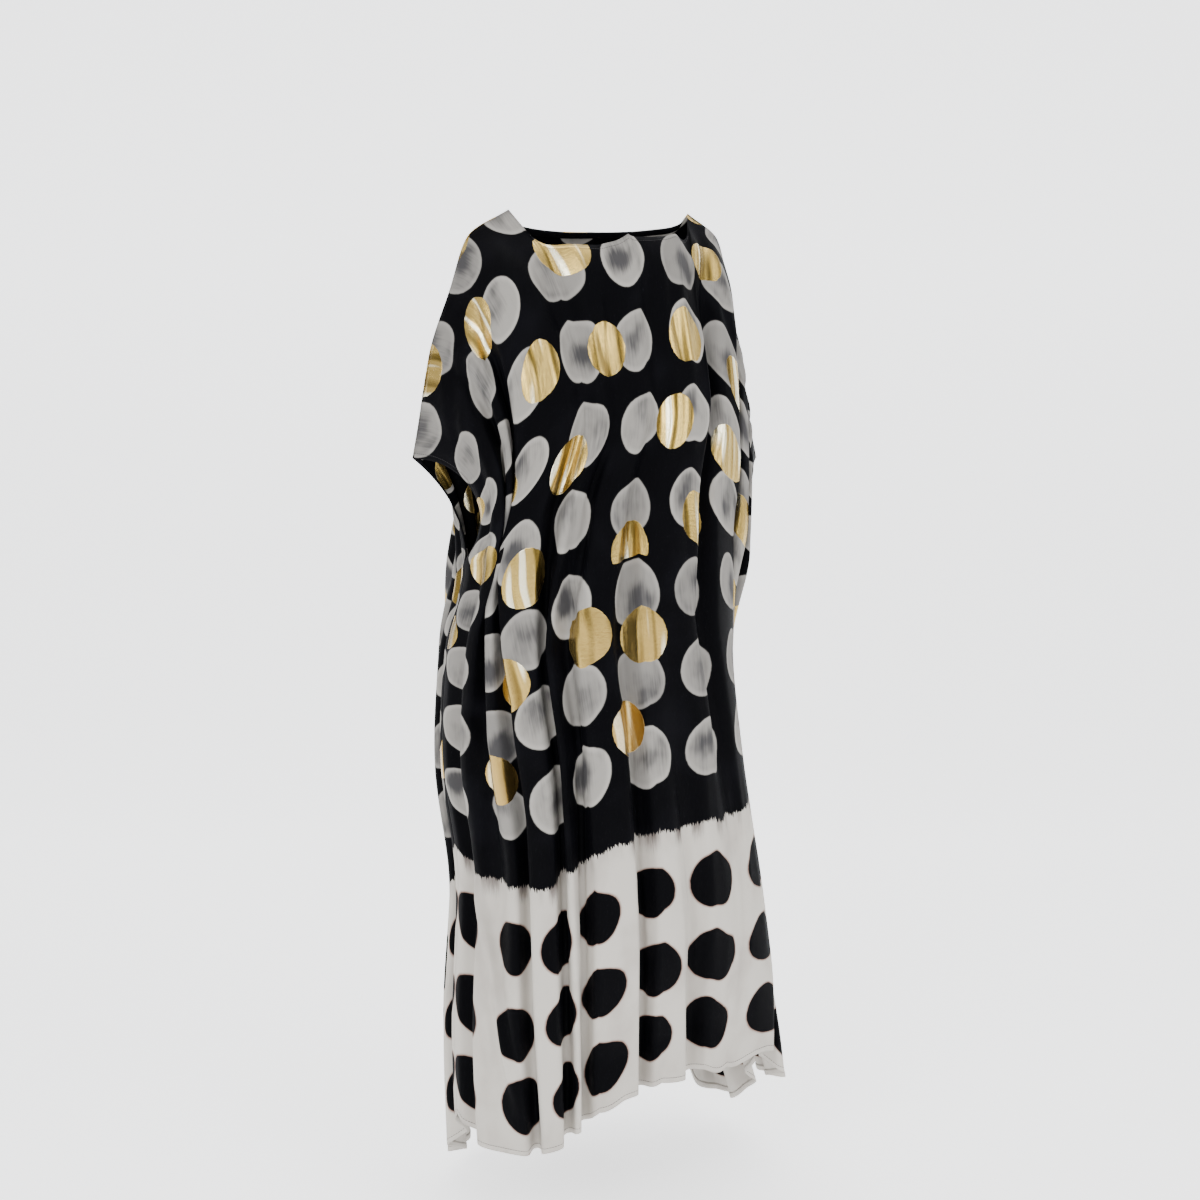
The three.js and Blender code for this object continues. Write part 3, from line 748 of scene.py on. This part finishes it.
def gold_foil(m, u, p, k):
    """Crinkled metal foil: where it lies, its colour and its height. The colour holds painted shade in
    the crinkles' folds, painted highlights on their ridges and a painted duller tone lower down.
    """
    bend = m.mul(m.sub(m.noise(m.vector(m.mul(u, 9.0), m.mul(p, 9.0), 2.0), 1.0, 1.0), 0.5), 0.018)
    crinkle = m.noise(m.vector(m.mul(m.add(u, bend), 46.0), m.mul(p, 4.0), k), 1.0, 1.0, 0.35)
    crazing = m.noise(m.vector(m.mul(u, 300.0), m.mul(p, 160.0), 5.0), 1.0, 3.0, 0.7)
    worn_off = m.mul(m.step(crazing, 0.66, 0.70), m.step(crinkle, 0.52, 0.60))
    metal = m.mul(foil(m, u, p, k), m.step(p, BORDER_AT - FOIL_FADE, BORDER_AT, 1.0, 0.0))
    metal = m.mul(metal, m.sub(1.0, m.mul(worn_off, 0.8)))
    # painted shade in the crinkles' folds, then painted highlights on their ridges
    painted_light_gold = m.blend(m.step(crinkle, 0.34, 0.50), CRINKLE_SHADE_GOLD, GOLD)
    painted_light_gold = m.blend(m.step(crinkle, 0.60, 0.68), painted_light_gold, HIGHLIGHT_GOLD)
    # lower foil painted duller, without the highlight
    painted_light_gold = m.blend(m.step(p, 0.55, 1.00, 0.0, 0.7), painted_light_gold, LOWER_SHADED_GOLD)
    return metal, painted_light_gold, m.mul(metal, m.add(m.mul(crinkle, 16.0), crazing))


def dyed_cloth():
    m = Maker("dyed_cloth")
    u, t, p, k = cloth_place(m)
    line, border = border_share(m, u, p, k)
    colour = m.blend(border, grey_on_black(m, u, p, k), black_on_pale(m, u, p, k, line))
    metal, painted_light_gold, height = gold_foil(m, u, p, k)
    colour = m.blend(metal, colour, painted_light_gold)
    rough = m.blend(metal, 0.66, 0.22, "FLOAT")
    specular = m.blend(metal, 0.04, 0.5, "FLOAT")
    bump = weave(m, u, t, 0.28, height)
    return finish_material(m, colour, rough, m.mul(metal, 0.9), bump, specular=specular)


def border_cloth():
    m = Maker("border_cloth")
    u, t, p, k = cloth_place(m)
    cloud = m.noise(m.vector(m.mul(u, 30.0), m.mul(p, 60.0), m.add(k, 6.0)), 1.0, 3.0, 0.55)
    pale = m.blend(m.step(cloud, 0.35, 0.75), CREAM, WARM_GREY)
    return finish_material(m, pale, 0.7, 0.0, weave(m, u, t, 0.25))


def plain_black():
    m = Maker("black_turn")
    u, t, p, k = cloth_place(m)
    mottle = m.noise(m.vector(m.mul(u, 60.0), m.mul(t, 60.0), k), 1.0, 3.0)
    black = m.blend(m.step(mottle, 0.4, 0.7), BLACK, SOFT_BLACK)
    return finish_material(m, black, 0.6, 0.0, weave(m, u, t, 0.3))


def thread():
    m = Maker("thread")
    place = m.node("ShaderNodeTexCoord").outputs["Object"]
    twist = m.noise(place, 900.0, 2.0)
    colour = m.blend(twist, THREAD, rgb(70, 68, 68))
    bump = m.node("ShaderNodeBump", {"Height": twist, "Strength": 0.4, "Distance": 0.0004})
    return finish_material(m, colour, 0.65, 0.0, bump.outputs[0])


DYED, PALE, TURN, THREADS = dyed_cloth(), border_cloth(), plain_black(), thread()

# ---------------------------------------------------------------- cloth pieces
ACROSS = 300             # columns and rows of a panel's mesh
DOWN = 150
TURN_DEPTHS = (CLOTH + 0.25, CLOTH + 1.05)   # a turned edge lies just inside the panel
TURN_ROWS = 4
EDGE_IN = 0.3            # from the panel's edge to the turned one
EDGE_STEPS = 110         # of neck and cuffs, along the edge
HEM_STEPS = 260


def panel_grid(name):
    """Flat places of a panel's mesh, with a column on each neck corner."""
    inner = np.linspace(-HALF, HALF, ACROSS - 1)
    us = np.unique(np.r_[inner[np.abs(np.abs(inner) - NECK_HALF) > 2.2], -NECK_HALF, NECK_HALF])
    top = neck_line(name, us)
    bottom = hem_line(name, us)
    share = np.linspace(0, 1, DOWN)[:, None]
    t = top + (bottom - top) * share
    return np.broadcast_to(us, t.shape).copy(), t


def settle(piece, node):
    """Hide the CAD node that a cloth piece replaces, and attach the piece to the root."""
    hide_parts(node)
    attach(piece, "root")
    return piece


for panel in ("front", "back"):
    u, t = panel_grid(panel)
    made = shell(f"{panel}_cloth", panel, u, t, (0.0, CLOTH), DYED)
    settle(made, f"{panel}_panel")

    us = np.linspace(-HALF + 1, HALF - 1, HEM_STEPS)
    down = np.linspace(-TURN_WIDTH, -EDGE_IN, TURN_ROWS)[:, None]
    t = hem_line(panel, us) + down
    made = shell(f"{panel}_hem", panel, np.broadcast_to(us, t.shape).copy(), t, TURN_DEPTHS, PALE)
    settle(made, f"hem_turn_{panel}")

    us = np.linspace(-NECK_HALF + 3, NECK_HALF - 3, EDGE_STEPS)
    down = np.linspace(EDGE_IN, TURN_WIDTH, TURN_ROWS)[:, None]
    t = neck_line(panel, us) + down
    made = shell(f"{panel}_neck", panel, np.broadcast_to(us, t.shape).copy(), t, TURN_DEPTHS, TURN)
    settle(made, f"neck_turn_{panel}")

    for side, sign in (("right", -1.0), ("left", 1.0)):
        ts = np.linspace(2, SLEEVE_DEPTH - 2, EDGE_STEPS)[:, None]
        across = sign * np.linspace(HALF - TURN_WIDTH, HALF - EDGE_IN, TURN_ROWS)
        if sign < 0:
            across = across[::-1]
        u = np.broadcast_to(across, (EDGE_STEPS, TURN_ROWS)).copy()
        t = np.broadcast_to(ts, u.shape).copy()
        made = shell(f"{panel}_cuff_{side}", panel, u, t, TURN_DEPTHS, TURN)
        settle(made, f"cuff_turn_{panel}_{side}")


# ---------------------------------------------------------------- stitching
THREAD_WIDE = 0.30       # half sizes of a stitch, in millimetres
THREAD_HIGH = 0.135
THREAD_UP = 0.12         # how far a stitch's middle stands off the cloth
STITCH_SHARE = 0.86      # of the way from one hole to the next
STITCH_IN = 8.5          # rows of stitches from the cloth's edge


def stitches(label, rows):
    """Short straight stitches as one mesh; each row is a panel and its flat points."""
    points, faces = [], []
    corners = np.array([[-1, -1], [1, -1], [1, 1], [-1, 1]], float)
    for name, u, t in rows:
        start = surface(name, u[:-1], t[:-1], -THREAD_UP)
        end = surface(name, u[1:], t[1:], -THREAD_UP)
        normal = outward(name, u[:-1], t[:-1])
        along = end - start
        length = np.linalg.norm(along, axis=1, keepdims=True)
        along /= np.maximum(length, 1e-9)
        side = np.cross(along, normal)
        for i in range(len(start)):
            a = start[i] + (end[i] - start[i]) * (1 - STITCH_SHARE)
            b = start[i] + (end[i] - start[i]) * STITCH_SHARE
            base = len(points)
            for end_point in (a, b):
                for cx, cy in corners:
                    points.append(end_point + side[i] * cx * THREAD_WIDE
                                  + normal[i] * cy * THREAD_HIGH)
            faces += [[base + f for f in face] for face in (
                (3, 2, 1, 0), (4, 5, 6, 7), (0, 1, 5, 4), (1, 2, 6, 5), (2, 3, 7, 6),
                (3, 0, 4, 7))]
    piece = new_object(label, np.array(points), np.array(faces), None, THREADS)
    piece.data.polygons.foreach_set("use_smooth", np.zeros(len(piece.data.polygons), bool))
    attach(piece, "root")
    return piece


for panel in ("front", "back"):
    us = np.linspace(-HALF + 2, HALF - 2, 270)
    rows = [(panel, us, hem_line(panel, us) - STITCH_IN)]
    us = np.linspace(-NECK_HALF + 4, NECK_HALF - 4, 72)
    rows.append((panel, us, neck_line(panel, us) + STITCH_IN))
    ts = np.linspace(3, SLEEVE_DEPTH - 3, 84)
    rows.append((panel, np.full_like(ts, -HALF + STITCH_IN), ts))
    rows.append((panel, np.full_like(ts, HALF - STITCH_IN), ts))
    stitches(f"{panel}_stitching", rows)


def flat_area(name):
    """Area of the flat panel in square metres, between its hem and its neck or shoulder line."""
    us = np.linspace(-HALF, HALF, 1181)
    depth = hem_line(name, us) - np.where(np.abs(us) < NECK_HALF, neck_line(name, us), 0)
    return float(((depth[1:] + depth[:-1]) / 2 * np.diff(us)).sum()) * 1e-6


for panel in ("front", "back"):
    flat_area(panel)


# ---------------------------------------------------------------- floor and light
FLOOR_Z = -1.600         # clear of the lowest hem


def backdrop():
    """A pale floor that curves up into a wall behind."""
    direction = Vector((-math.sin(CAMERA_TURN), math.cos(CAMERA_TURN)))
    side = Vector((direction.y, -direction.x))
    profile = [(-5.0, 0.0), (2.2, 0.0)]
    for k in range(1, 25):
        a = k / 24 * math.pi / 2
        profile.append((2.2 + 1.6 * math.sin(a), 1.6 * (1 - math.cos(a))))
    profile.append((3.8, 7.0))
    points, faces = [], []
    for away, up in profile:
        for across in (-8.0, 8.0):
            at = direction * away + side * across
            points.append((at.x * 1000, at.y * 1000, (FLOOR_Z + up) * 1000))
    for k in range(len(profile) - 1):
        faces.append((2 * k, 2 * k + 1, 2 * k + 3, 2 * k + 2))
    m = Maker("paper")
    place = m.node("ShaderNodeTexCoord").outputs["Object"]
    paper = m.blend(m.noise(place, 3.0, 2.0), rgb(236, 237, 239), rgb(240, 241, 243))
    shader = m.node("ShaderNodeBsdfPrincipled", {
        "Base Color": paper, "Roughness": 0.9, "Emission Color": (1.0, 1.0, 1.0, 1.0),
        "Emission Strength": 1.35})
    out = m.node("ShaderNodeOutputMaterial")
    m.tree.links.new(shader.outputs[0], out.inputs["Surface"])
    floor = new_object("floor", np.array(points), np.array(faces), None, m.material)


def lamp(label, at, aim_height, size, power):
    data = bpy.data.lights.new(label, "AREA")
    data.shape, data.size, data.energy = "SQUARE", size, power
    made = bpy.data.objects.new(label, data)
    made.location = at
    made.rotation_euler = (Vector((0, 0, aim_height)) - Vector(at)).to_track_quat("-Z", "Y").to_euler()
    bpy.context.collection.objects.link(made)


backdrop()
world = bpy.data.worlds.new("studio")
world.use_nodes = True
world.node_tree.nodes["Background"].inputs["Color"].default_value = (1.0, 1.0, 1.0, 1.0)
world.node_tree.nodes["Background"].inputs["Strength"].default_value = 0.95
bpy.context.scene.world = world
lamp("front_left", (-3.2, -2.6, 1.6), -0.7, 2.2, 125)
lamp("front_right", (1.6, -3.4, 1.2), -0.7, 2.0, 72)
lamp("above", (0.0, 0.2, 2.6), -0.6, 2.4, 58)
